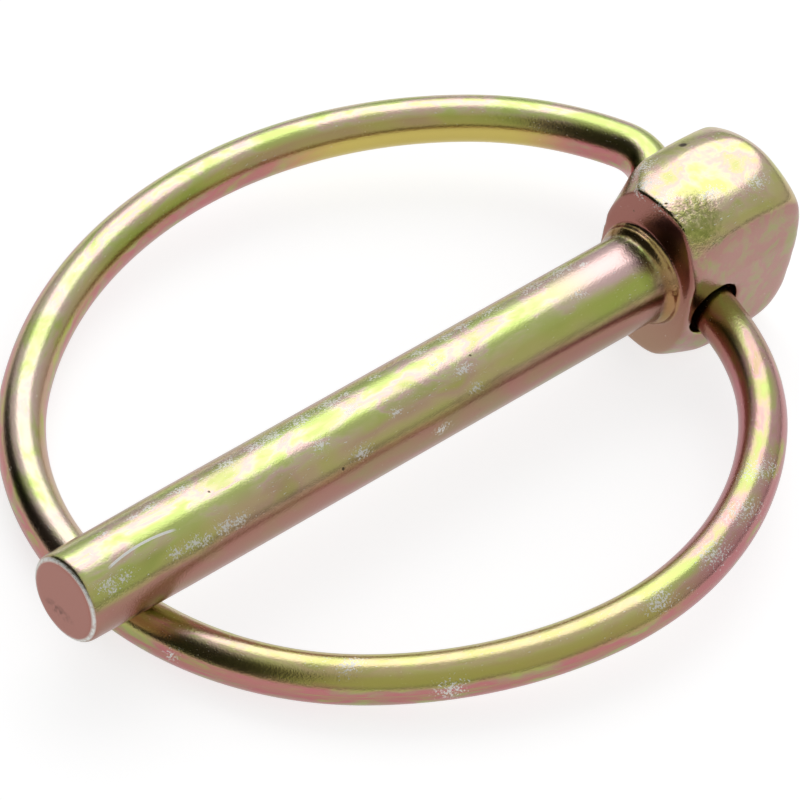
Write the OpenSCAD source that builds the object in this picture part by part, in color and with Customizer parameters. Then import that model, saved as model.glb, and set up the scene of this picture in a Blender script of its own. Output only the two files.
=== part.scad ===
// Linch pin: a headed steel pin with a sprung wire ring that closes under the pin's tip.
// Millimetres. The origin is on the pin's axis, where the true shank starts in front of the collar's flare.
// +X runs from there to the tip, +Z is up as the part lies.

/* [Pin] */
// shank diameter, the size the pin is sold by
shank_diameter = 6; // [4:0.1:16]
// length from the collar's rim to the tip
shank_length = 47.7; // [30:0.1:120]
// length at the tip that runs in a slight taper
lead_length = 8.2; // [4:0.1:20]
// diameter at the end of the taper
lead_diameter = 5.9; // [3.8:0.05:16]
// rounding of the tip's edge
tip_round = 0.45; // [0.2:0.05:1.5]
// diameter of the thin collar under the head
collar_diameter = 6.8; // [4.5:0.1:18]

/* [Head] */
// greatest diameter of the barrel-shaped head
head_diameter = 13.4; // [8:0.1:30]
// how far the head's middle swells out past its face
head_swell = 0.5; // [0.2:0.05:2]
// length of the head behind the collar
head_length = 10.5; // [6:0.1:24]
// rounding of the head's far rim
rim_round = 2.4; // [0.5:0.1:4]
// width across the two side flats
side_flats = 8.2; // [5:0.1:20]
// height across the top and bottom flats
top_flats = 12.7; // [6:0.1:26]
// rounding of the corners between the flats
corner_round = 1.5; // [0.5:0.1:3]
// how narrow the oval is that trims the corners round the face, width to height
face_oval = 0.64; // [0.5:0.01:1]
// spread of that trimmed oval for each millimetre behind the face
face_spread = 0.6; // [0.3:0.05:1.2]
// sideways shift of the forged head on the shank
head_shift = 0.1; // [-1:0.05:1]
// turn of the head's flats about the pin, seen from the tip
head_turn = -5; // [-30:0.5:30]
// diameter of the hole through the head
hole_diameter = 3.9; // [2:0.05:8]
// hole's mouth behind the collar's rim on the near side
hole_near = 3.2; // [2:0.05:10]
// hole's mouth behind the collar's rim on the far side
hole_far = 5.2; // [2:0.05:10]

/* [Ring] */
// wire diameter
wire_diameter = 3.14; // [1.5:0.02:6]
// half length of the oval ring along the pin, to the middle of the wire
ring_half_length = 26.3; // [15:0.1:60]
// half width of the oval ring across the pin, to the middle of the wire
ring_half_width = 22.8; // [14:0.1:56]
// how much rounder than a true ellipse the ring is bent at its two ends, added to the radius there
end_ease = 1.03; // [0:0.01:3]
// how far the ring's wire passes behind the collar's rim at the head end
ring_behind = 10.6; // [6:0.1:24]
// wire between the near side of the oval and the hole, measured along the pin
near_run = 23.6; // [12:0.1:50]
// wire between the far end of the oval and the hole, measured across the pin
far_run = 6.6; // [3:0.1:14]
// sideways shift of the ring's middle
ring_shift = -2.87; // [-4:0.01:4]
// lean of the ring's plane, down towards the tip
ring_lean = 3.96; // [0:0.02:12]
// daylight between the pin and the closed ring
ring_gap = 0.2; // [0.1:0.05:0.6]
// reach of each wire end into the head
end_depth = 3.2; // [2:0.1:6]

/* [Hidden] */
$fn = 96;
shank_r = shank_diameter / 2;
wire_r = wire_diameter / 2;
// alternate lengths of the wire are drawn a hair thinner, so that they lap cleanly
thin_r = wire_r - 0.01;
// the collar's flare ends at the origin, so all that is measured from the collar's rim moves back by its length
flare = 0.45;
half = side_flats / 2;
// the ring's plane: it passes under the pin at cross_x, and s runs in it from that point along the pin
ring_middle = ring_half_length - ring_behind;
slack = ring_shift / ring_half_width;
cross_x = ring_middle + ring_half_length * sqrt(1 - slack * slack);
cross_z = -(shank_r + wire_r + ring_gap) / cos(ring_lean);
mid_s = ring_middle - cross_x;
// four arcs make the oval: two end arcs and two flatter side arcs
end_radius = ring_half_width * ring_half_width / ring_half_length + end_ease;
end_s = ring_half_length - end_radius;
rise = ring_half_width * ring_half_width - end_radius * end_radius;
side_radius = (end_s * end_s + rise) / (2 * (ring_half_width - end_radius));
side_y = side_radius - ring_half_width;
long_way = side_radius > end_radius ? 1 : -1;
meet = atan2(long_way * side_y, long_way * end_s);
// the hinge line in the ring's plane
near_m = [-(hole_near + cross_x) / cos(ring_lean), half];
far_m = [-(hole_far + cross_x) / cos(ring_lean), -half];
line_a = (near_m - far_m) / norm(near_m - far_m);
line_turn = atan2(line_a[0], line_a[1]);
near_q = near_m + wire_r * line_a;
far_q = far_m;
// the wire leaves the oval at these angles for the hole in the head
near_leave = acos((near_m[0] + near_run - mid_s) / side_radius);
far_leave = asin((half + far_run + ring_shift) / end_radius) - 180;
near_p = [mid_s + side_radius * cos(near_leave), ring_shift - side_y + side_radius * sin(near_leave)];
near_a = [-sin(near_leave), cos(near_leave)];
far_p = [mid_s - end_s + end_radius * cos(far_leave), ring_shift + end_radius * sin(far_leave)];
far_a = [sin(far_leave), -cos(far_leave)];
// how long the last bend's tangents are, where the wire turns into the hole
near_turn = 3.2 * wire_r;
far_turn = 0.95 * wire_r;

// two tangent arcs join p, running along a, to q, running along b, with the last tangent e long
function first_e(v, a, b, e) = (v * v - 2 * e * (v * b)) / (2 * (v * a + e * (1 - a * b)));
function join_d(p, a, q, b, e, d) = (e * (p + d * a) + d * (q - e * b)) / (d + e);
function join(p, a, q, b, e) = join_d(p, a, q, b, e, first_e(q - p, a, b, e));

// puts what is drawn in the ring's plane where that plane lies
module ring_plane() {
    translate([cross_x - flare, 0, cross_z])
        rotate([0, ring_lean, 0])
            children();
}

// a length of round wire bent about a point, from one angle to the next
module bend(mid, rad, from, to, r, lap) {
    ease = lap / rad * 180 / PI;
    translate([mid[0], mid[1], 0])
        rotate([0, 0, min(from, to) - ease])
            rotate_extrude(angle = abs(to - from) + 2 * ease)
                translate([rad, 0])
                    circle(r = r);
}

// the bend that starts at p, running along a, and ends at q
module bend_to(p, a, q, r, lap) {
    way = q - p;
    left = [-a[1], a[0]];
    rad = (way * way) / (2 * (way * left));
    turn = 2 * atan2(way * left, way * a);
    mid = p + rad * left;
    start = atan2(p[1] - mid[1], p[0] - mid[0]);
    bend(mid, abs(rad), start, start + turn, r, lap);
}

module stub(q, turn, r, back, reach) {
    translate([q[0], q[1], 0])
        rotate([0, 0, turn])
            translate([0, back, 0])
                rotate([90, 0, 0])
                    cylinder(r = r, h = end_depth + back + reach);
}

module ring() {
    near_e = join(near_p, near_a, near_q, -line_a, near_turn);
    far_e = join(far_p, far_a, far_q, line_a, far_turn);
    color("#b5b070")
        ring_plane() {
            bend([mid_s + end_s, ring_shift], end_radius, -meet, meet, wire_r, 0);
            bend([mid_s, ring_shift - side_y], side_radius, meet, near_leave, thin_r, 0.2);
            bend_to(near_p, near_a, near_e, wire_r, 0);
            bend_to(near_q, line_a, near_e, thin_r, 0.2);
            stub(near_q, -line_turn, wire_r, 0, wire_r);
            bend([mid_s, ring_shift + side_y], side_radius, -meet, meet - 180, thin_r, 0.2);
            bend([mid_s - end_s, ring_shift], end_radius, meet - 180, far_leave, wire_r, 0);
            bend_to(far_p, far_a, far_e, thin_r, 0.2);
            bend_to(far_q, -line_a, far_e, wire_r, 0);
            stub(far_q, 180 - line_turn, thin_r, 0.2, 0);
        }
}

// shank, tip and the thin collar, all about the pin's axis
module shank() {
    rotate([0, 90, 0]) {
        translate([0, 0, -2])
            cylinder(r = shank_r, h = 2 + shank_length - lead_length);
        translate([0, 0, shank_length - lead_length])
            cylinder(r1 = shank_r, r2 = lead_diameter / 2, h = lead_length - tip_round);
        translate([0, 0, shank_length - tip_round])
            rotate_extrude() {
                square([lead_diameter / 2 - tip_round, tip_round]);
                intersection() {
                    translate([lead_diameter / 2 - tip_round, 0])
                        circle(r = tip_round);
                    square([lead_diameter, tip_round]);
                }
            }
        translate([0, 0, -2])
            cylinder(d = collar_diameter, h = 2);
        cylinder(d1 = collar_diameter, r2 = shank_r, h = flare);
    }
}

// the head before its flats are struck: a face, a slight swell and a rounded far rim
module barrel() {
    deep = head_length - 0.5;
    swell_r = (deep * deep / 4 + head_swell * head_swell) / (2 * head_swell);
    rim = head_diameter / 2 - swell_r + sqrt(swell_r * swell_r - pow(deep / 2 - rim_round, 2));
    rotate([0, -90, 0])
        translate([0, 0, 0.5])
            rotate_extrude()
                intersection() {
                    translate([head_diameter / 2 - swell_r, deep / 2])
                        circle(r = swell_r, $fn = 720);
                    union() {
                        square([rim + 1, deep - rim_round]);
                        square([rim - rim_round, deep]);
                        translate([rim - rim_round, deep - rim_round])
                            circle(r = rim_round);
                    }
                }
}

// the outline that the dies leave: flat top, bottom and sides with well rounded corners
module flats() {
    rise_c = top_flats / 2 - corner_round;
    side_c = half - corner_round;
    translate([0.5, 0, 0])
        rotate([0, -90, 0])
            linear_extrude(height = head_length + 1) {
                square([top_flats, 2 * side_c], center = true);
                square([2 * rise_c, side_flats], center = true);
                for (u = [-rise_c, rise_c], v = [-side_c, side_c])
                    translate([u, v])
                        circle(r = corner_round);
            }
}

// the oval that eases the corners just behind the face and runs out further back
module face_ease() {
    tall = head_diameter / 2 - 0.1;
    rotate([0, -90, 0])
        translate([0, 0, 0.5])
            scale([1, face_oval, 1])
                cylinder(r1 = tall, r2 = tall + face_spread * head_length, h = head_length);
}

module pin() {
    color("#a8a15c")
        difference() {
            union() {
                translate([-flare, 0, 0])
                    shank();
                rotate([head_turn, 0, 0])
                    translate([-flare, head_shift, 0])
                        intersection() {
                            barrel();
                            flats();
                            face_ease();
                        }
            }
            ring_plane()
                translate([(near_m[0] + far_m[0]) / 2, 0, 0])
                    rotate([0, 0, -line_turn])
                        rotate([90, 0, 0])
                            cylinder(d = hole_diameter, h = 4 * side_flats, center = true);
        }
}

pin();
ring();
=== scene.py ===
import math

import bpy
from mathutils import Matrix, Vector
from mathutils.kdtree import KDTree


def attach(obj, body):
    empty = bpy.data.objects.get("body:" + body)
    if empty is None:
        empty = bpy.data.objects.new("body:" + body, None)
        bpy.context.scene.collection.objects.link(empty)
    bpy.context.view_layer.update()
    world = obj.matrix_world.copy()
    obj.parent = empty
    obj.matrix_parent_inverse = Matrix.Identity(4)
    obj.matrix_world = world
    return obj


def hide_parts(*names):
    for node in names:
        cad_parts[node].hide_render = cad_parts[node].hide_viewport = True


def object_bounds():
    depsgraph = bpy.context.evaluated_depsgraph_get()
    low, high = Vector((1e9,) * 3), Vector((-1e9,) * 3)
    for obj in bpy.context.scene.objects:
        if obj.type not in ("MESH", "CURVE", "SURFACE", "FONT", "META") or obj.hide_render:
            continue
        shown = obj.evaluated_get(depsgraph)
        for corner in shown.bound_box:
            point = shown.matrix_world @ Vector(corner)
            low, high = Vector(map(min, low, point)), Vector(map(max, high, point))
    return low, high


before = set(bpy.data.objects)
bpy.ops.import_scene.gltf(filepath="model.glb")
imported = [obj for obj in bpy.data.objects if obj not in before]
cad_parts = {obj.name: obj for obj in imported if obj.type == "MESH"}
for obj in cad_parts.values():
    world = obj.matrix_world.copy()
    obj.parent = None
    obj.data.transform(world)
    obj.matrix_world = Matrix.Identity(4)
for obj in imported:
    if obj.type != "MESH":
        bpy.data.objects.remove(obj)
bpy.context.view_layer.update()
bpy.context.scene.view_settings.view_transform = "Standard"

MM = 0.001
# points nearer to each other than this are one point
MERGE = 0.001 * MM


# ---------------------------------------------------------------- small helpers
def colour(hex_code):
    """An sRGB hex value as linear RGBA."""
    parts = [int(hex_code[i:i + 2], 16) / 255 for i in (1, 3, 5)]
    return [c / 12.92 if c <= 0.04045 else ((c + 0.055) / 1.055) ** 2.4 for c in parts] + [1.0]


def share(value, start, end):
    """How far a value has come from start to end, held between 0 and 1."""
    return min(1.0, max(0.0, (value - start) / (end - start)))


def towards(azimuth, elevation):
    """The direction at this azimuth and elevation, in degrees."""
    a, e = math.radians(azimuth), math.radians(elevation)
    return Vector((math.cos(e) * math.cos(a), math.cos(e) * math.sin(a), math.sin(e)))


def pick(obj):
    """Leaves only this object selected and active."""
    bpy.ops.object.select_all(action="DESELECT")
    obj.select_set(True)
    bpy.context.view_layer.objects.active = obj


def apply(obj, kind, name, **settings):
    """Adds a modifier and applies it."""
    pick(obj)
    mod = obj.modifiers.new(name, kind)
    for key, value in settings.items():
        setattr(mod, key, value)
    bpy.ops.object.modifier_apply(modifier=name)


def add(tree, kind, inputs=None, ramp=None, **settings):
    """Adds a node, sets its properties, and sets or links its inputs; a ramp is a list of (place, hex)."""
    node = tree.nodes.new(kind)
    for name, value in settings.items():
        setattr(node, name, value)
    for key, value in (inputs or {}).items():
        if isinstance(value, bpy.types.NodeSocket):
            tree.links.new(value, node.inputs[key])
        else:
            node.inputs[key].default_value = value
    if ramp:
        stops = node.color_ramp.elements
        while len(stops) < len(ramp):
            stops.new(0.5)
        for stop, (place, hex_code) in zip(stops, ramp):
            stop.position = place
            stop.color = colour(hex_code)
    return node


def calc(tree, operation, *values, clamp=False):
    """One sum on up to three values."""
    return add(tree, "ShaderNodeMath", dict(enumerate(values)), operation=operation, use_clamp=clamp).outputs[0]


def product(tree, first, *others):
    """All the values multiplied."""
    for other in others:
        first = calc(tree, "MULTIPLY", first, other)
    return first


def span(tree, value, start, end, low=0.0, high=1.0, soft=False):
    """Runs from low to high while the value runs from start to end."""
    return add(tree, "ShaderNodeMapRange",
               {"Value": value, "From Min": start, "From Max": end, "To Min": low, "To Max": high},
               interpolation_type="SMOOTHSTEP" if soft else "LINEAR").outputs[0]


def noise(tree, vector, scale, detail=3.0, roughness=0.5, distortion=0.0):
    """Soft noise with this many patches to a unit of the vector."""
    return add(tree, "ShaderNodeTexNoise",
               {"Vector": vector, "Scale": scale, "Detail": detail, "Roughness": roughness,
                "Distortion": distortion}).outputs["Fac"]


def tinted(tree, value, stops):
    """The colour of a ramp at the value."""
    return add(tree, "ShaderNodeValToRGB", {"Fac": value}, ramp=stops).outputs["Color"]


def blend(tree, factor, under, over):
    """One colour laid over another by a factor; each is a socket or a hex value."""
    under, over = (colour(c) if isinstance(c, str) else c for c in (under, over))
    return add(tree, "ShaderNodeMix", {"Factor": factor, 6: under, 7: over}, data_type="RGBA").outputs[2]


# ---------------------------------------------------------------- camera
# the view that the photograph was taken from: a long lens, 43.5 degrees up, rolled 7.3 degrees
AIM = Vector((17.55, 0, 0)) * MM
DISTANCE = 421.87 * MM
AZIMUTH, ELEVATION, ROLL = 42.645, 43.546, math.radians(7.276)
FOCAL_PX = 6783.8
OFF_X, OFF_Y = 28.59, -6.0
IMAGE = 800
SENSOR = 36

back = towards(AZIMUTH, ELEVATION)
level = Vector((0, 0, 1)).cross(back).normalized()
upright = back.cross(level)
right = math.cos(ROLL) * level + math.sin(ROLL) * upright
up = -math.sin(ROLL) * level + math.cos(ROLL) * upright
lens = bpy.data.cameras.new("photo_camera")
lens.sensor_width = SENSOR
lens.lens = FOCAL_PX * SENSOR / IMAGE
lens.shift_x = -OFF_X / IMAGE
lens.shift_y = OFF_Y / IMAGE
lens.clip_start, lens.clip_end = 0.01, 50
camera = bpy.data.objects.new("photo_camera", lens)
bpy.context.scene.collection.objects.link(camera)
camera.matrix_world = Matrix.Translation(AIM + back * DISTANCE) @ Matrix((right, up, back)).transposed().to_4x4()
bpy.context.scene.camera = camera


# ---------------------------------------------------------------- the pin
# The forging is the CAD solid with its struck edges eased, as tumbling and plating leave them.
SKIN = 0.15
HOLE_MIDDLE, HOLE_WAY = Vector((-4.65, 0, -1.6)), Vector((0.2369, 0.9714, -0.0164))
COLLAR_X, COLLAR_REACH, COLLAR_R = -0.3, 0.8, 3.7
# passes of smoothing over all of it and over the struck corners, how much of the first reaches the collar and of
# the second the lower rim, and how far the top's corners are spared
EVEN_PASSES, CORNER_PASSES = 10, 150
COLLAR_SHARE, RIM_SHARE, TOP_SPARED = 0.35, 0.3, 0.85
TOP_LEAN = 0.3


def forged_pin():
    piece = bpy.data.objects.new("forged_pin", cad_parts["pin"].data.copy())
    bpy.context.scene.collection.objects.link(piece)
    piece.data.materials.clear()
    pick(piece)
    bpy.ops.object.mode_set(mode="EDIT")
    bpy.ops.mesh.select_all(action="SELECT")
    bpy.ops.mesh.remove_doubles(threshold=MERGE)
    bpy.ops.object.mode_set(mode="OBJECT")
    apply(piece, "REMESH", "even_skin", mode="VOXEL", voxel_size=SKIN * MM, use_smooth_shade=True)
    # the struck corners are rounded over about 1.5 mm, the top, the hole's rim and the face's rim much less
    struck = piece.vertex_groups.new(name="struck_corners")
    skin = piece.vertex_groups.new(name="skin")
    for v in piece.data.vertices:
        here = v.co / MM
        off = here - HOLE_MIDDLE
        from_hole = (off - off.dot(HOLE_WAY) * HOLE_WAY).length
        corner = share(here.x, -1.35, -2.35) * share(from_hole, 2.3, 3.3)
        kept = share(here.z - 0.6 * here.y, 4.2, 5.4)
        low_rim = share(here.z, -3.0, -4.5) if here.x < -0.6 else 0.0
        struck.add([v.index], max(corner * (1 - TOP_SPARED * kept), RIM_SHARE * low_rim), "REPLACE")
        by_collar = abs(here.x - COLLAR_X) < COLLAR_REACH and math.hypot(here.y, here.z) < COLLAR_R
        skin.add([v.index], COLLAR_SHARE if by_collar else 1.0, "REPLACE")
    apply(piece, "SMOOTH", "even", factor=0.5, iterations=EVEN_PASSES, vertex_group="skin")
    apply(piece, "SMOOTH", "eased_corners", factor=0.5, iterations=CORNER_PASSES, vertex_group="struck_corners")
    # the head's top leans a little away from the near side, as its outline in the photograph does
    for v in piece.data.vertices:
        here = v.co / MM
        v.co.y -= TOP_LEAN * MM * share(here.x, -1.2, -2.7) * share(here.z, 1.0, 5.0)
    return piece


pin = forged_pin()
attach(pin, "pin")
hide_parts("pin")


# ---------------------------------------------------------------- the ring
# One length of 3.14 mm spring wire: an oval of four arcs, whose two ends turn into the head's hole.
WIRE_R = 3.14 / 2
HALF_LENGTH, HALF_WIDTH = 26.3, 22.8
END_EASE, BEHIND, SHIFT, LEAN = 1.03, 10.6, -2.87, math.radians(3.96)
NEAR_RUN, FAR_RUN, GAP, END_DEPTH = 23.6, 6.6, 0.2, 3.2
NEAR_TURN, FAR_TURN = 3.2 * WIRE_R, 0.95 * WIRE_R
HOLE_NEAR, HOLE_FAR, FLAT_HALF, FLARE, SHANK_R = 3.2, 5.2, 4.1, 0.45, 3.0
# the wire is drawn a hair inside the CAD wire, with a ring of points about every 0.3 mm, and only its two ends
# have an edge sharp enough to show
INSIDE, STEP, ROUNDING = 0.015, 0.3, 14
SHARP = math.radians(40)


def arc(middle, radius, start, end):
    """Points along an arc in the ring's plane, angles in radians."""
    count = max(3, int(abs(end - start) * radius / STEP))
    return [middle + radius * Vector((math.cos(a), math.sin(a)))
            for a in (start + (end - start) * i / count for i in range(count + 1))]


def arc_to(p, along, q):
    """The arc that leaves p along a direction and ends at q."""
    way = q - p
    left = Vector((-along.y, along.x))
    radius = way.dot(way) / (2 * way.dot(left))
    turn = 2 * math.atan2(way.dot(left), way.dot(along))
    middle = p + radius * left
    start = math.atan2(p.y - middle.y, p.x - middle.x)
    return arc(middle, abs(radius), start, start + turn)


def straight(p, q):
    """Points along the line from p to q."""
    count = round((q - p).length / STEP)
    return [p + (q - p) * i / count for i in range(count + 1)]


def joint_of(p, a, q, b, last):
    """Where two tangent arcs from p along a to q along b meet, with the last tangent this long."""
    v = q - p
    first = (v.dot(v) - 2 * last * v.dot(b)) / (2 * (v.dot(a) + last * (1 - a.dot(b))))
    return (last * (p + first * a) + first * (q - last * b)) / (first + last)


def wire_route():
    """The wire's middle line from the near end in the hole, round the oval, to the far end, in millimetres."""
    middle = HALF_LENGTH - BEHIND
    cross_x = middle + HALF_LENGTH * math.sqrt(1 - (SHIFT / HALF_WIDTH) ** 2)
    cross_z = -(SHANK_R + WIRE_R + GAP) / math.cos(LEAN)
    mid_s = middle - cross_x
    end_r = HALF_WIDTH ** 2 / HALF_LENGTH + END_EASE
    end_s = HALF_LENGTH - end_r
    side_r = (end_s ** 2 + HALF_WIDTH ** 2 - end_r ** 2) / (2 * (HALF_WIDTH - end_r))
    side_y = side_r - HALF_WIDTH
    meet = math.atan2(side_y, end_s)
    near_m = Vector((-(HOLE_NEAR + cross_x) / math.cos(LEAN), FLAT_HALF))
    far_m = Vector((-(HOLE_FAR + cross_x) / math.cos(LEAN), -FLAT_HALF))
    line = (near_m - far_m).normalized()
    near_q = near_m + WIRE_R * line
    near_leave = math.acos((near_m.x + NEAR_RUN - mid_s) / side_r)
    far_leave = math.asin((FLAT_HALF + FAR_RUN + SHIFT) / end_r) - math.pi
    near_p = Vector((mid_s + side_r * math.cos(near_leave), SHIFT - side_y + side_r * math.sin(near_leave)))
    near_a = Vector((-math.sin(near_leave), math.cos(near_leave)))
    far_p = Vector((mid_s - end_s + end_r * math.cos(far_leave), SHIFT + end_r * math.sin(far_leave)))
    far_a = Vector((math.sin(far_leave), -math.cos(far_leave)))
    near_e = joint_of(near_p, near_a, near_q, -line, NEAR_TURN)
    far_e = joint_of(far_p, far_a, far_m, line, FAR_TURN)
    stretches = [
        straight(near_q - (END_DEPTH + WIRE_R) * line, near_q),
        arc_to(near_q, line, near_e),
        list(reversed(arc_to(near_p, near_a, near_e))),
        arc(Vector((mid_s, SHIFT - side_y)), side_r, near_leave, meet),
        arc(Vector((mid_s + end_s, SHIFT)), end_r, meet, -meet),
        arc(Vector((mid_s, SHIFT + side_y)), side_r, -meet, meet - math.pi),
        arc(Vector((mid_s - end_s, SHIFT)), end_r, meet - math.pi, far_leave),
        arc_to(far_p, far_a, far_e),
        list(reversed(arc_to(far_m, -line, far_e))),
        straight(far_m, far_m + END_DEPTH * line),
    ]
    flat = stretches[0]
    for stretch in stretches[1:]:
        flat = flat + stretch[1:]
    return [Vector((cross_x - FLARE + p.x * math.cos(LEAN), p.y, cross_z - p.x * math.sin(LEAN))) for p in flat]


def wire_ring():
    route = wire_route()
    curve = bpy.data.curves.new("wire_ring", "CURVE")
    curve.dimensions = "3D"
    spline = curve.splines.new("POLY")
    spline.points.add(len(route) - 1)
    for point, place in zip(spline.points, route):
        point.co = (*(place * MM), 1)
    curve.bevel_depth = (WIRE_R - INSIDE) * MM
    curve.bevel_resolution = ROUNDING
    curve.use_fill_caps = True
    piece = bpy.data.objects.new("wire_ring", curve)
    bpy.context.scene.collection.objects.link(piece)
    pick(piece)
    bpy.ops.object.convert(target="MESH")
    piece = bpy.context.view_layer.objects.active
    bpy.ops.object.mode_set(mode="EDIT")
    bpy.ops.mesh.select_all(action="SELECT")
    bpy.ops.mesh.remove_doubles(threshold=MERGE)
    bpy.ops.mesh.normals_make_consistent(inside=False)
    bpy.ops.object.mode_set(mode="OBJECT")
    bpy.ops.object.shade_smooth_by_angle(angle=SHARP)
    # each point's place along the wire and round it, in millimetres, for what runs lengthwise
    tree = KDTree(len(route))
    run = [0.0]
    for i, place in enumerate(route):
        tree.insert(place, i)
        if i:
            run.append(run[-1] + (place - route[i - 1]).length)
    tree.balance()
    normal = Vector((math.sin(LEAN), 0, math.cos(LEAN)))
    lengthwise = piece.data.attributes.new("lengthwise", "FLOAT_VECTOR", "POINT")
    for v in piece.data.vertices:
        here = v.co / MM
        place, i, _ = tree.find(here)
        ahead = (route[min(i + 1, len(route) - 1)] - route[max(i - 1, 0)]).normalized()
        out = here - place
        turn = math.atan2(out.dot(normal), out.dot(ahead.cross(normal)))
        lengthwise.data[v.index].vector = (run[i] + out.dot(ahead), turn * WIRE_R, 0)
    return piece


ring = wire_ring()
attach(ring, "ring")
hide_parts("ring")


# ---------------------------------------------------------------- painted floor reflection, painted highlight and rubbed places
# How far each point looks down or away, where a pink-brown floor reflection is painted, how far it looks up,
# where a pale highlight is painted, and how much it has been rubbed by handling. Rubs are longer along the part.
REFLECTION_SPAN, HIGHLIGHT_FROM, HIGHLIGHT_FULL = 0.4, 0.74, 0.96
RUB_SQUEEZE, RUB_R = 0.55, 2.98


def mark_sides(piece, turn, far_side, rub_places):
    names = ("painted_reflection_share", "painted_highlight_share", "rubbed")
    for name in names:
        piece.data.attributes.new(name, "FLOAT", "POINT")
    painted_reflection_share, painted_highlight_share, rubbed = (piece.data.attributes[name].data for name in names)
    for v in piece.data.vertices:
        n, here = v.normal, v.co / MM
        painted_reflection_share[v.index].value = share(turn - n.z + far_side * max(0.0, -n.y), 0.0, REFLECTION_SPAN)
        painted_highlight_share[v.index].value = share(n.z, HIGHLIGHT_FROM, HIGHLIGHT_FULL)
        worn = max(1 - math.hypot(RUB_SQUEEZE * (here.x - x), here.y - y, here.z - z) / reach
                   for x, y, z, reach in rub_places)
        rubbed[v.index].value = max(0.0, worn)


def on_shank(x, degrees, reach):
    """A rubbed place on the shank, by its distance from the collar and its angle from the near side up."""
    return x, RUB_R * math.cos(math.radians(degrees)), RUB_R * math.sin(math.radians(degrees)), reach


# the rubs seen on the shank's near side and tip, and those scattered along its far upper edge
SHANK_RUBS = [(40.5, 38, 0.7), (39.1, 38, 0.8), (38.3, 34, 0.7), (36.6, 36, 0.9), (35.5, 35, 0.8), (45.7, 45, 0.9),
              (44.4, 43, 0.7), (45.5, 37, 0.7), (16.3, 59, 0.8), (25.6, 33, 0.8), (16.1, 33, 0.6), (22.1, 55, 0.5),
              (6.0, 69, 0.6), (19.1, 5, 0.7), (28.0, 65, 0.7), (17.7, 83, 0.7), (24.7, 85, 0.7)]
EDGE_RUBS = [(4 + 42 * (0.618 * i % 1), 104 + 16 * (0.382 * i % 1), 0.5 + 0.9 * (0.755 * i % 1)) for i in range(18)]
# those on the ring and on the head, by their middle and reach
RING_RUBS = [(17, 20.7, -1.8, 1.2), (12, 19.9, -1.6, 1.5), (8.3, 18.5, -1.4, 1.7), (5, 16.8, -1.1, 1.5),
             (30.95, 17.2, -3.8, 1.3), (42.2, 4.2, -4.6, 0.9), (35, 12.6, -2.8, 1.0)]
HEAD_RUBS = [(-1.6, -1.6, 6.1, 1.3), (-1.5, 0.4, 6.1, 1.0), (-3.0, -2.9, 5.7, 1.2), (-4.4, 1.6, 6.1, 0.9),
             (-7.6, 2.4, 5.8, 1.0)]
mark_sides(pin, 0.58, 0.5, [on_shank(*rub) for rub in SHANK_RUBS + EDGE_RUBS] + HEAD_RUBS)
mark_sides(ring, 0.55, 0.35, RING_RUBS)
# the face under the collar, which looks to the tip, where a floor reflection is painted
front = pin.data.attributes.new("front", "FLOAT", "POINT")
for v in pin.data.vertices:
    front.data[v.index].value = share(v.normal.x, 0.6, 0.85) if v.co.x < -0.75 * MM else 0.0


# ---------------------------------------------------------------- finishes
# Yellow chromate on bright zinc: a thin film of uneven thickness, so a glossy metal that turns from straw and
# yellow-green to pink in soft patches, with rubs and scratches down to grey zinc; a pale highlight on top and a
# pink-brown floor reflection below are painted into its colour.
# The film's colours as it thickens: on the flanks, as a painted highlight on top, and as a painted floor reflection.
PIN_FLANK = [(0.34, "#A9B45C"), (0.42, "#BDC06C"), (0.50, "#C9C07C"),
             (0.56, "#CDB98A"), (0.62, "#CBAE8E"), (0.70, "#BFB96E")]
RING_FLANK = [(0.34, "#A2AE50"), (0.42, "#B2B65A"), (0.50, "#BEB866"),
              (0.56, "#C2B072"), (0.62, "#C0A67A"), (0.70, "#B2B05A")]
# the colours of the painted highlight on top, on the shank and ring and on the head
PAINTED_HIGHLIGHT = [(0.40, "#C3D37E"), (0.47, "#D0D894"), (0.52, "#DED2B4"),
        (0.57, "#E4C4BE"), (0.62, "#D8D2A6"), (0.70, "#C5D582")]
HEAD_PAINTED_HIGHLIGHT = [(0.36, "#CFCF86"), (0.44, "#D8CFA0"), (0.50, "#DECBB0"),
             (0.56, "#E0BEB4"), (0.62, "#DACCA6"), (0.70, "#CFD08A")]
# the colours of the painted floor reflection, on the shank, on the head and on the ring
PIN_PAINTED_REFLECTION = [(0.30, "#9A9468"), (0.41, "#A48A6C"), (0.50, "#AC7E72"), (0.58, "#AA8070"), (0.70, "#A09066")]
HEAD_PAINTED_REFLECTION = [(0.34, "#A39C6E"), (0.42, "#AC9278"), (0.50, "#B2857C"), (0.57, "#AE887A"), (0.68, "#A39A70")]
RING_PAINTED_REFLECTION = [(0.32, "#A8AC6C"), (0.42, "#B48E7C"), (0.50, "#C07A7C"), (0.58, "#BA8678"), (0.68, "#A8A868")]
BARE_ZINC, PIT = "#EDEDE8", "#5A4E3A"
PLATED_ROUGH, BARE_ROUGH = 0.21, 0.55
GRAIN_DEPTH, GRAIN_STRENGTH = 0.03 * MM, 0.35

# places on the part, in millimetres
HOLE_MOUTH = (-3.4, 4.6, -1.6)
END_SMUDGE = (47.25, -0.35, -1.1)
STRUCK_CORNER = (-2.4, 2.4, 5.6)
HEAD_DENT = (-6.15, -2.7, 6.1)
# the long scratch: its middle and its angle there in radians, how fast that falls off, and its two ends
SCRATCH_X, SCRATCH_ANGLE, SCRATCH_CURVE = 42.35, 1.180, 0.01414
SCRATCH_FROM, SCRATCH_TO = 39.7, 45.15


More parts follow.
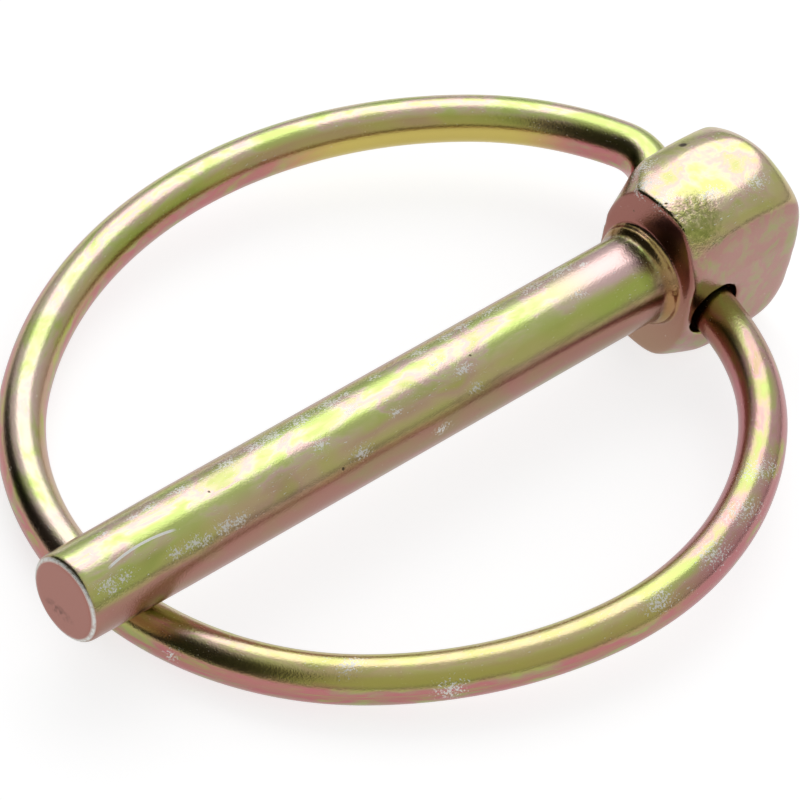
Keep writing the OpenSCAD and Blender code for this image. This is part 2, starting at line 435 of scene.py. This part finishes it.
def passivated_zinc(name, on_wire):
    mat = bpy.data.materials.new(name)
    mat.use_nodes = True
    tree = mat.node_tree
    tree.nodes.clear()

    def attribute(label, output="Fac"):
        return add(tree, "ShaderNodeAttribute", attribute_name=label).outputs[output]

    def from_place(place):
        return add(tree, "ShaderNodeVectorMath", {0: spot, 1: place}, operation="DISTANCE").outputs["Value"]

    def stretched(vector, scale):
        return add(tree, "ShaderNodeMapping", {"Vector": vector, "Scale": scale}).outputs[0]

    spot = stretched(add(tree, "ShaderNodeTexCoord").outputs["Object"], (1 / MM, 1 / MM, 1 / MM))
    run = attribute("lengthwise", "Vector") if on_wire else spot
    # low is how far the floor reflection is painted, high how far the highlight is painted
    low, high, rubbed = attribute("painted_reflection_share"), attribute("painted_highlight_share"), attribute("rubbed")
    axes = add(tree, "ShaderNodeSeparateXYZ", {"Vector": spot})
    x, y, z = axes.outputs["X"], axes.outputs["Y"], axes.outputs["Z"]

    # film thickness: clouds about 10 mm long and 4 mm wide, and patches about 4 mm by 2 mm within them
    drawn = stretched(run, (0.10, 0.25, 0.25))
    clouds = noise(tree, drawn, 1.0, distortion=0.35)
    patch = noise(tree, drawn, 2.4, roughness=0.6, distortion=0.3)
    if on_wire:
        flank = tinted(tree, clouds, RING_FLANK)
        painted_highlight = tinted(tree, patch, PAINTED_HIGHLIGHT)
        painted_reflection = tinted(tree, patch, RING_PAINTED_REFLECTION)
        # the near run of the wire by the head is pink to its flank, and its painted floor reflection reaches higher
        # there
        outer = span(tree, y, 4.0, 10.0, soft=True)
        near = product(tree, outer, span(tree, x, 19.0, 12.0, soft=True))
        low = calc(tree, "MULTIPLY_ADD", near, 0.22, low)
        pinker = span(tree, patch, 0.32, 0.46)
        near = product(tree, near, pinker)
        flank = blend(tree, near, flank, "#C79490")
        painted_reflection = blend(tree, near, painted_reflection, "#BA7A7C")
        # ahead of that its flank and painted highlight are gold, and past the tip both are pink in patches
        gold = product(tree, outer, span(tree, x, 12.0, 21.0, high=0.7, soft=True))
        flank = blend(tree, gold, flank, "#BDB45E")
        painted_highlight = blend(tree, gold, painted_highlight, "#DAD08C")
        past_tip = span(tree, y, 3.0, -2.0, high=0.7, soft=True)
        by_tip = product(tree, span(tree, x, 22.0, 32.0, soft=True), pinker, past_tip)
        flank = blend(tree, by_tip, flank, "#CBA494")
        painted_highlight = blend(tree, by_tip, painted_highlight, "#E2CFC2")
        # it is brown where it enters the hole, and on the far run by the head the painted floor reflection is gold
        mouth = span(tree, from_place(HOLE_MOUTH), 6.5, 2.0, high=0.75)
        flank = blend(tree, mouth, flank, "#94703E")
        painted_reflection = blend(tree, mouth, painted_reflection, "#8E5C46")
        far = product(tree, span(tree, y, -12.0, -16.0, soft=True), span(tree, x, 11.0, 4.0, soft=True))
        painted_reflection = blend(tree, far, painted_reflection, "#CFBC68")
    else:
        # the forged head isn't drawn, so its patches are as wide as long, about 2 mm
        blotch = noise(tree, spot, 0.5, roughness=0.6, distortion=0.3)
        head = span(tree, x, -0.6, -1.0)
        patch = add(tree, "ShaderNodeMix", {"Factor": head, 2: patch, 3: blotch}).outputs[0]
        flank = tinted(tree, clouds, PIN_FLANK)
        # on the head, the painted highlight on the flat top is a warmer cream, and the painted floor reflection on
        # its sides is paler than the shank's, pink and green in patches
        painted_highlight = blend(tree, head, tinted(tree, patch, PAINTED_HIGHLIGHT), tinted(tree, patch, HEAD_PAINTED_HIGHLIGHT))
        painted_reflection = blend(tree, head, tinted(tree, clouds, PIN_PAINTED_REFLECTION), tinted(tree, patch, HEAD_PAINTED_REFLECTION))
    # the painted floor reflection takes the sides that look down or away, with a ragged edge, over the film and its
    # painted highlight on top
    sway = calc(tree, "MULTIPLY_ADD", patch, 1.2, -0.6)
    reflection_part = calc(tree, "MULTIPLY_ADD", low, 1.6, sway, clamp=True)
    outside_reflection = calc(tree, "SUBTRACT", 1.0, reflection_part)
    film_and_painted_light = blend(tree, high, flank, painted_highlight)
    film_and_painted_light = blend(tree, reflection_part, film_and_painted_light, painted_reflection)

    # handling marks: fine streaks 0.1 mm wide and 0.5 mm long here and there, and rubs of 0.15 mm flecks where it has
    # been knocked, both down to the pale zinc
    fine = noise(tree, stretched(run, (2.0, 7.0, 7.0)), 1.0, detail=4.0, roughness=0.7)
    grain = noise(tree, spot, 3.5)
    often = calc(tree, "MULTIPLY_ADD", patch, 0.35, fine)
    marks = product(tree, span(tree, often, 0.84, 0.90), outside_reflection)
    flecks = noise(tree, spot, 6.5, roughness=0.65)
    ragged = calc(tree, "MULTIPLY_ADD", rubbed, 0.3, flecks)
    rubs = span(tree, ragged, 0.70, 0.78, high=0.85)
    bare = calc(tree, "MAXIMUM", rubs, marks, clamp=True)

    # small dark pits, about 0.2 mm across and well apart
    holes = add(tree, "ShaderNodeTexVoronoi", {"Vector": spot, "Scale": 0.36, "Randomness": 1.0}).outputs["Distance"]
    pits = span(tree, calc(tree, "MULTIPLY_ADD", grain, 0.12, holes), 0.095, 0.075)

    # the plating's own grain, 0.12 mm, breaks up the edges of the reflections
    matte = noise(tree, spot, 8.0, detail=2.0, roughness=0.6)
    height = calc(tree, "MULTIPLY_ADD", fine, 0.5, matte)

    if not on_wire:
        # near the collar the film is thicker: pink along the top, painted as pale as its highlight there, and green
        # below it; right against the collar it is a dark brown stipple
        by_collar = product(tree, span(tree, x, 11.0, 3.0, soft=True), span(tree, x, 0.3, 0.9))
        pink_and_painted_highlight = product(tree, by_collar, span(tree, z, 2.45, 2.8, soft=True))
        green = product(tree, by_collar, span(tree, z, 2.7, 2.2, soft=True), outside_reflection)
        brown = product(tree, span(tree, x, 1.6, 0.2), span(tree, x, -0.5, -0.1), grain)
        film_and_painted_light = blend(tree, pink_and_painted_highlight, film_and_painted_light, "#E8C6C2")
        film_and_painted_light = blend(tree, green, film_and_painted_light, "#B4C25E")
        film_and_painted_light = blend(tree, brown, film_and_painted_light, "#5E4526")
        # the collar itself is a golden brown band
        band = product(tree, span(tree, x, -0.95, -0.85, high=0.7), span(tree, x, 0.1, -0.2))
        film_and_painted_light = blend(tree, band, film_and_painted_light, "#B28C58")
        # the face under the collar is a painted reflection of the floor and the shank, red brown, darker towards the
        # top, and the sawn end is a pink-brown painted floor reflection with dark smudges
        front = attribute("front")
        face_reflection = blend(tree, span(tree, z, 2.0, -5.0), "#9C685E", "#B29078")
        film_and_painted_light = blend(tree, front, film_and_painted_light, face_reflection)
        end = span(tree, x, 47.16, 47.22)
        film_and_painted_light = blend(tree, end, film_and_painted_light, "#A8756A")
        off = add(tree, "ShaderNodeVectorMath", {0: spot, 1: END_SMUDGE}, operation="SUBTRACT").outputs[0]
        off = add(tree, "ShaderNodeVectorMath", {0: off, 1: (0.5, 0.8, 2.2)}, operation="MULTIPLY").outputs[0]
        off = add(tree, "ShaderNodeVectorMath", {0: off}, operation="LENGTH").outputs["Value"]
        smudge = product(tree, span(tree, off, 1.2, 0.4), span(tree, grain, 0.38, 0.62, high=0.55))
        film_and_painted_light = blend(tree, smudge, film_and_painted_light, "#54382F")
        # the struck corner above the near side is left rough and greener, in dimples about 0.4 mm across
        struck = product(tree, span(tree, from_place(STRUCK_CORNER), 2.8, 1.0, soft=True),
                         calc(tree, "SUBTRACT", 1.0, front))
        dimples = product(tree, noise(tree, spot, 3.0, roughness=0.6), struck)
        film_and_painted_light = blend(tree, span(tree, dimples, 0.3, 0.55, high=0.8), film_and_painted_light, "#8B9246")
        height = calc(tree, "MULTIPLY_ADD", dimples, 14.0, height)
        # the tip's rim is rubbed bare in a thin line, and one long curved scratch runs behind it
        rim = product(tree, span(tree, x, 47.04, 47.12), span(tree, x, 47.23, 47.17),
                      span(tree, grain, 0.25, 0.5, low=0.35))
        angle = calc(tree, "ARCTAN2", z, y)
        along = calc(tree, "SUBTRACT", x, SCRATCH_X)
        line = calc(tree, "MULTIPLY_ADD", product(tree, along, along), SCRATCH_CURVE, angle)
        off_line = calc(tree, "ABSOLUTE", calc(tree, "SUBTRACT", line, SCRATCH_ANGLE))
        scratch = product(tree, span(tree, off_line, 0.034, 0.02), span(tree, x, SCRATCH_FROM, SCRATCH_FROM + 0.4),
                          span(tree, x, SCRATCH_TO, SCRATCH_TO - 0.35))
        bare = calc(tree, "SUBTRACT", bare, end, clamp=True)
        bare = calc(tree, "MAXIMUM", bare, rim)
        bare = calc(tree, "MAXIMUM", bare, scratch)
        # one deeper dent on the head's far upper edge
        pits = calc(tree, "MAXIMUM", pits, span(tree, from_place(HEAD_DENT), 0.34, 0.2))

    worn = blend(tree, bare, film_and_painted_light, BARE_ZINC)
    final = blend(tree, pits, worn, PIT)
    rough = span(tree, bare, 0.0, 1.0, PLATED_ROUGH, BARE_ROUGH)
    bump = add(tree, "ShaderNodeBump",
               {"Height": height, "Strength": GRAIN_STRENGTH, "Distance": GRAIN_DEPTH}).outputs[0]
    metal = add(tree, "ShaderNodeBsdfPrincipled",
                {"Base Color": final, "Metallic": 1.0, "Roughness": rough, "Normal": bump})
    add(tree, "ShaderNodeOutputMaterial", {"Surface": metal.outputs[0]})
    return mat


# both finishes carry a painted highlight on top and a painted floor reflection below
pin.data.materials.append(passivated_zinc("yellow_passivated_zinc_with_painted_light_on_forged_steel", False))
ring.data.materials.clear()
ring.data.materials.append(passivated_zinc("yellow_passivated_zinc_with_painted_light_on_drawn_wire", True))


# ---------------------------------------------------------------- floor and light
FLOOR_SIZE = 8
PAPER_SHOWN, PAPER_MIRRORED = 0.75, 0.6
LAMP_SIZE, LAMP_AWAY, LAMP_LEVEL = 0.42, 0.5, 1.15
ROOM_LEVEL = 0.57

floor_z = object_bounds()[0].z
bpy.ops.object.select_all(action="DESELECT")
bpy.ops.mesh.primitive_plane_add(size=FLOOR_SIZE, location=(0, 0, floor_z))
floor = bpy.context.object
floor.name = "pale_floor"
# matt white paper; it also shows white to the camera and in reflections, and keeps the shadow
paper = bpy.data.materials.new("matt_white_paper")
paper.use_nodes = True
tree = paper.node_tree
tree.nodes.clear()
rays = add(tree, "ShaderNodeLightPath").outputs
mirrored = calc(tree, "MAXIMUM", rays["Is Glossy Ray"], rays["Is Transmission Ray"])
lit = calc(tree, "MULTIPLY_ADD", rays["Is Camera Ray"], PAPER_SHOWN, product(tree, mirrored, PAPER_MIRRORED))
glow = add(tree, "ShaderNodeEmission", {"Color": colour("#FFFFFF"), "Strength": lit})
matt = add(tree, "ShaderNodeBsdfDiffuse", {"Color": colour("#BCBCBC")})
both = add(tree, "ShaderNodeAddShader", {0: glow.outputs[0], 1: matt.outputs[0]})
add(tree, "ShaderNodeOutputMaterial", {"Surface": both.outputs[0]})
floor.data.materials.append(paper)

# one large softbox behind the part
SOFTBOX = towards(228, 50)
lamp = bpy.data.lights.new("softbox", "AREA")
lamp.shape = "SQUARE"
lamp.size = LAMP_SIZE
lamp.energy = LAMP_LEVEL * math.pi * lamp.size ** 2
softbox = bpy.data.objects.new("softbox", lamp)
bpy.context.scene.collection.objects.link(softbox)
softbox.location = AIM + SOFTBOX * LAMP_AWAY
softbox.rotation_mode = "QUATERNION"
softbox.rotation_quaternion = SOFTBOX.to_track_quat("Z", "Y")

# the room is dark along the skirting, on the far side past the tip, and at a doorway further round;
# each dark place has its direction, the cosines where it starts and where it is full, and the light left there
DARK_PLACES = [(towards(338, 22), 0.55, 0.74, 0.04), (towards(287, 12), 0.91, 0.965, 0.06)]
world = bpy.data.worlds.new("studio")
bpy.context.scene.world = world
world.use_nodes = True
tree = world.node_tree
tree.nodes.clear()
way = add(tree, "ShaderNodeTexCoord").outputs["Generated"]
height = add(tree, "ShaderNodeSeparateXYZ", {"Vector": way}).outputs["Z"]
room = span(tree, height, 0.05, 0.12, low=0.12, soft=True)
for aim, starts, full, left in DARK_PLACES:
    facing = add(tree, "ShaderNodeVectorMath", {0: way, 1: aim}, operation="DOT_PRODUCT").outputs["Value"]
    room = product(tree, room, span(tree, facing, starts, full, 1.0, left, soft=True))
sky = add(tree, "ShaderNodeBackground", {"Color": colour("#FFFFFF"), "Strength": product(tree, room, ROOM_LEVEL)})
add(tree, "ShaderNodeOutputWorld", {"Surface": sky.outputs[0]})
